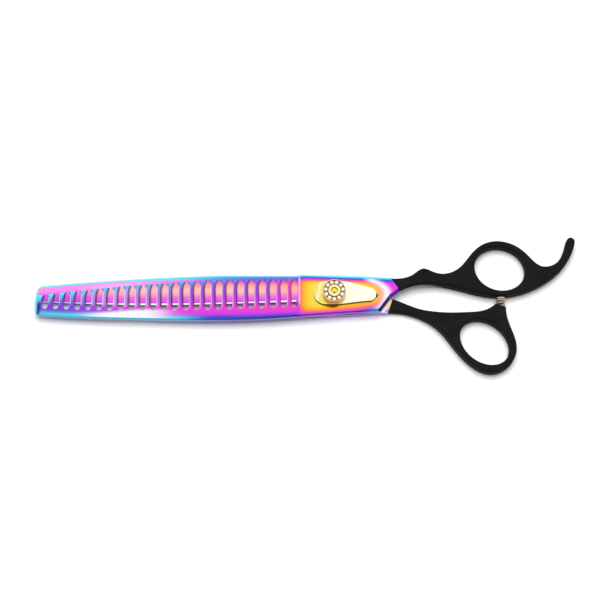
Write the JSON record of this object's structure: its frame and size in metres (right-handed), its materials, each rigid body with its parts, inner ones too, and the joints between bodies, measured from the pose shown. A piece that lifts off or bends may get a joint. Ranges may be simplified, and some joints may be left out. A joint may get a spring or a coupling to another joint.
{
  "type": "thinning shears",
  "caption": "Thinning shears with one toothed and one solid blade, a screw tension dial, a sprung bumper between the rings and a little-finger rest.",
  "frame": {"origin": "on the pivot axis, at the flat back of the pivot bolt, the lowest plane of the shears lying on their back", "axes": "+X along the shears towards the handles, +Y towards the finger ring, +Z along the pivot out of the tension dial"},
  "size_m": [0.2246, 0.0581, 0.0113],
  "materials": {
    "toothed_blade": "polished steel with a rainbow oxide coat: gold by the pivot, through pink and violet to blue at the tips",
    "solid_blade": "polished steel with a rainbow oxide coat",
    "handle_coat": "matte black coat with a soft sheen",
    "leaf_gold": "satin, pale gold plated spring steel",
    "dial_gold": "polished, gold plated",
    "bolt_gold": "gold plated steel",
    "bushing_brass": "turned",
    "washer_plastic": "smooth low-friction polymer",
    "washer_steel": "satin",
    "crystal": "clear cut stone",
    "bumper_steel": "satin nickel",
    "bumper_spring": "polished nickel wire"
  },
  "bodies": {
    "finger_half": {"toothed_blade": "toothed_blade", "finger_handle": "handle_coat", "pivot_bolt": "bolt_gold", "leaf_spring": "leaf_gold", "friction_washer": "washer_plastic", "spring_washer": "washer_steel"},
    "thumb_half": {"solid_blade": "solid_blade", "thumb_handle": "handle_coat", "pivot_bushing": "bushing_brass", "bumper_stud": "bumper_steel"},
    "dial": {"tension_dial": "dial_gold", "crystal_01": "crystal", "crystal_02": "crystal", "crystal_03": "crystal", "crystal_04": "crystal", "crystal_05": "crystal", "crystal_06": "crystal", "crystal_07": "crystal", "crystal_08": "crystal", "crystal_09": "crystal", "crystal_10": "crystal", "crystal_11": "crystal"},
    "bumper": {"bumper_cap": "bumper_steel", "bumper_spring": "bumper_spring"}
  },
  "joints": [
    {"name": "shear_pivot", "type": "hinge", "parent": "finger_half", "child": "thumb_half", "pos_m": [0, 0, 0.0035], "axis": [0, 0, -1], "range_deg": [0, 130]},
    {"name": "dial_turn", "type": "hinge", "parent": "finger_half", "child": "dial", "pos_m": [0, 0, 0.0096], "axis": [0, 0, 1], "range_deg": [-90, 90]},
    {"name": "bumper_press", "type": "slide", "parent": "thumb_half", "child": "bumper", "axis": [0, -1, 0], "range_m": [0, 0.0008], "stiffness_N_per_m": 2000, "deforming": ["bumper_spring"]}
  ]
}
